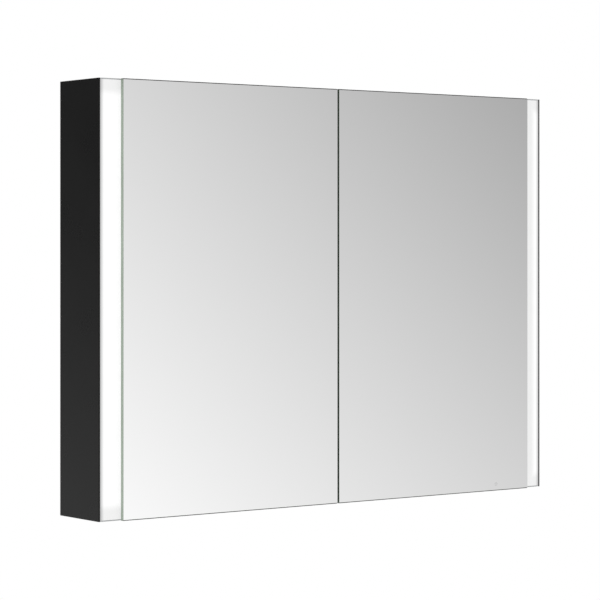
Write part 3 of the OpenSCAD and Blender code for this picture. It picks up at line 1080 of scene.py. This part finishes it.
@dataclass(frozen=True)
class LightTent:
    """The light round the cabinet, by direction; X, Y and Z are parts of a direction of length 1.

    In front it climbs from the middle to about 30 degrees aside, falls off beyond, and is brighter below
    than above. Its two back corners, which only the black sides show, are dark with a paler foot.

    Attributes:
        strength: strength of the whole tent.
        hold_aside: below this |X| the fall to the sides hasn't begun.
        hold_up: above this Z it grows no darker.
        fall_aside: change of level with |X|.
        fall_up: change of level with Z.
        middle_width: |X| where the middle's own climb ends.
        middle_levels: level at X = 0 and from middle_width on, before the two falls.
        limits: lowest and highest level.
        foot_z: Z where a back corner starts to pale and where it is palest.
        foot_levels: a back corner's level above its foot, and at its foot.
        behind: Y where a back corner starts and where it is full.
        beside: |X| where a back corner starts and where it is full.
    """

    strength: float = 1.085
    hold_aside: float = 0.53
    hold_up: float = 0.2
    fall_aside: float = -2.0545
    fall_up: float = -1.47
    middle_width: float = 0.5
    middle_levels: tuple[float, float] = (1.679, 1.879)
    limits: tuple[float, float] = (0.22, 1.0)
    foot_z: tuple[float, float] = (0.0, -0.12)
    foot_levels: tuple[float, float] = (0.12, 0.7)
    behind: tuple[float, float] = (0.25, 0.5)
    beside: tuple[float, float] = (0.25, 0.4)

    def level(self, tree: bpy.types.NodeTree) -> bpy.types.NodeSocket:
        """The tent's level by direction.

        Args:
            tree: the world's node tree.

        Returns:
            The level, a grey value.
        """
        way = add_node(tree, "ShaderNodeTexCoord").outputs["Generated"]
        axes = add_node(tree, "ShaderNodeSeparateXYZ", {0: way}).outputs
        side = add_node(tree, "ShaderNodeMath", {0: axes["X"]}, operation="ABSOLUTE").outputs[0]
        front = self.front(tree, side, axes["Z"])
        foot = add_node(tree, "ShaderNodeMapRange", {
            "Value": axes["Z"], "From Min": self.foot_z[0], "From Max": self.foot_z[1],
            "To Min": self.foot_levels[0], "To Max": self.foot_levels[1]}).outputs["Result"]
        behind, beside = (add_node(tree, "ShaderNodeMapRange", {
            "Value": value, "From Min": start, "From Max": full}).outputs["Result"]
            for value, (start, full) in ((axes["Y"], self.behind), (side, self.beside)))
        corner = add_node(tree, "ShaderNodeMath", {0: behind, 1: beside}, operation="MULTIPLY").outputs[0]
        return add_node(tree, "ShaderNodeMix", {"Factor": corner, "A": front, "B": foot}).outputs[0]

    def front(self, tree: bpy.types.NodeTree, side: bpy.types.NodeSocket,
              height: bpy.types.NodeSocket) -> bpy.types.NodeSocket:
        """The level in front of the cabinet.

        Args:
            tree: the world's node tree.
            side: |X| of the direction.
            height: Z of the direction.

        Returns:
            The level, within the limits.
        """
        out = add_node(tree, "ShaderNodeMath", {0: side, 1: self.hold_aside}, operation="MAXIMUM")
        high = add_node(tree, "ShaderNodeMath", {0: height, 1: self.hold_up}, operation="MINIMUM")
        wide = out.outputs[0]
        across = add_node(tree, "ShaderNodeMath", {0: wide, 1: self.fall_aside}, operation="MULTIPLY")
        up = add_node(tree, "ShaderNodeMath", {0: high.outputs[0], 1: self.fall_up}, operation="MULTIPLY")
        both = add_node(tree, "ShaderNodeMath", {0: across.outputs[0], 1: up.outputs[0]}, operation="ADD")
        middle = add_node(tree, "ShaderNodeMapRange", {
            "Value": side, "From Min": 0.0, "From Max": self.middle_width,
            "To Min": self.middle_levels[0], "To Max": self.middle_levels[1]}).outputs["Result"]
        level = add_node(tree, "ShaderNodeMath", {0: both.outputs[0], 1: middle}, operation="ADD").outputs[0]
        least, most = self.limits
        return add_node(tree, "ShaderNodeClamp", {"Value": level, "Min": least, "Max": most}).outputs[0]


@dataclass
class Studio:
    """Camera, light and floor round the hung cabinet.

    Attributes:
        distance: camera to the middle of the cabinet's back, level.
        turn: the camera's way round to the left, in degrees.
        aside: the camera's shift across its view.
        camera_up: the camera's height over the cabinet's middle.
        lens: focal length in millimetres.
        shift_up: the lens's vertical shift.
        floor_drop: the floor's distance below the cabinet.
        floor_size: the floor's side.
        floor_glow: light that the floor gives off itself.
        lamp_size: side of the low lamp.
        lamp_watts: its power.
        lamp_place: its place, from the cabinet's middle.
        lamp_aim: what it points at, from the middle of the cabinet's left side.
        middle: the middle of the cabinet's back; it follows from the CAD box.
    """

    distance: float = 4.1655
    turn: float = 36.76
    aside: float = -0.012
    camera_up: float = 0.0845
    lens: float = 142.27
    shift_up: float = -0.0885
    floor_drop: float = 1.05
    floor_size: float = 7.0
    floor_glow: float = 0.4
    lamp_size: float = 0.7
    lamp_watts: float = 3.0
    lamp_place: tuple[float, float, float] = (-1.7, -0.15, -1.0)
    lamp_aim: tuple[float, float] = (-0.06, -0.3)
    middle: Vector = field(init=False)

    def __post_init__(self) -> None:
        """Finds the middle of the cabinet's back."""
        low, high = cad_box
        self.middle = Vector((0, high.y, (low.z + high.z) / 2))

    def build(self) -> None:
        """Sets the camera, the surrounding light, the floor and the lamp."""
        self.camera()
        self.surround()
        self.floor(cad_box[0].z)
        self.lamps()
        bpy.context.scene.view_settings.view_transform = "Standard"

    def camera(self) -> None:
        """A level camera at the front left."""
        turn = math.radians(self.turn)
        ahead = Vector((math.sin(turn), math.cos(turn), 0))
        across = Vector((math.cos(turn), -math.sin(turn), 0))
        place = self.middle - self.distance * ahead - self.aside * across + Vector((0, 0, self.camera_up))
        data = bpy.data.cameras.new("front left view")
        data.lens = self.lens
        data.shift_y = self.shift_up
        data.clip_end = 100
        camera = bpy.data.objects.new("front left view", data)
        camera.location = place
        camera.rotation_euler = (math.pi / 2, 0, -turn)
        bpy.context.scene.collection.objects.link(camera)
        bpy.context.scene.camera = camera

    def surround(self) -> None:
        """The light tent; the camera itself sees plain white in its place."""
        world = bpy.data.worlds.new("light tent")
        bpy.context.scene.world = world
        world.use_nodes = True
        tree = world.node_tree
        light = LightTent()
        held = light.level(tree)
        grey = add_node(tree, "ShaderNodeCombineColor", {0: held, 1: held, 2: held}).outputs[0]
        tent = add_node(tree, "ShaderNodeBackground", {"Color": grey, "Strength": light.strength})
        plain = add_node(tree, "ShaderNodeBackground", {"Color": (1, 1, 1, 1), "Strength": 1.0})
        seen = add_node(tree, "ShaderNodeLightPath").outputs["Is Camera Ray"]
        mix = add_node(tree, "ShaderNodeMixShader", {0: seen, 1: tent.outputs[0], 2: plain.outputs[0]})
        out = next(n for n in tree.nodes if n.type == "OUTPUT_WORLD")
        tree.links.new(mix.outputs[0], out.inputs["Surface"])

    def floor(self, bottom: float) -> None:
        """A plain pale floor well below the hung cabinet."""
        clear_selection()
        bpy.ops.mesh.primitive_plane_add(size=self.floor_size, location=(0, 0, bottom - self.floor_drop))
        floor = bpy.context.object
        floor.name = "studio floor"
        material = bpy.data.materials.new("pale studio floor")
        material.use_nodes = True
        shader = material.node_tree.nodes["Principled BSDF"]
        shader.inputs["Base Color"].default_value = linear("F2F2F2")
        shader.inputs["Roughness"].default_value = 0.8
        shader.inputs["Emission Color"].default_value = linear("FFFFFF")
        shader.inputs["Emission Strength"].default_value = self.floor_glow
        floor.data.materials.append(material)

    def lamps(self) -> None:
        """A low soft lamp at the left, which lifts the lower part of the black side."""
        data = bpy.data.lights.new("low side lamp", "AREA")
        data.size = self.lamp_size
        data.energy = self.lamp_watts
        lamp = bpy.data.objects.new("low side lamp", data)
        x, y, up = self.lamp_place
        lamp.location = (x, y, self.middle.z + up)
        aim_y, aim_up = self.lamp_aim
        aim = Vector((cad_box[0].x, aim_y, self.middle.z + aim_up)) - lamp.location
        lamp.rotation_euler = aim.to_track_quat("-Z", "Y").to_euler()
        bpy.context.scene.collection.objects.link(lamp)


def main() -> None:
    """Builds the studio and the cabinet in order."""
    logging.basicConfig(level=logging.INFO, format="%(name)s: %(message)s")
    Studio().build()
    cover_low, cover_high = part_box("right_light_cover")
    door_low, door_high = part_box("right_door_mirror")
    mark = (door_high.x - MARK_INSET.x, door_low.z + MARK_INSET.y)
    palette = Palette(cover_high.x, (cover_low.z, cover_high.z), mark)
    Carcass(palette).build()
    Shelves(palette).build()
    for side in Side:
        LightColumn(palette, side).build()
        HingeArms(palette, side).build()
        MirrorDoor(palette, side).build()
    Fittings(palette).build()
    SocketContacts(palette).build()
    clear_selection()


if __name__ == "__main__":
    main()
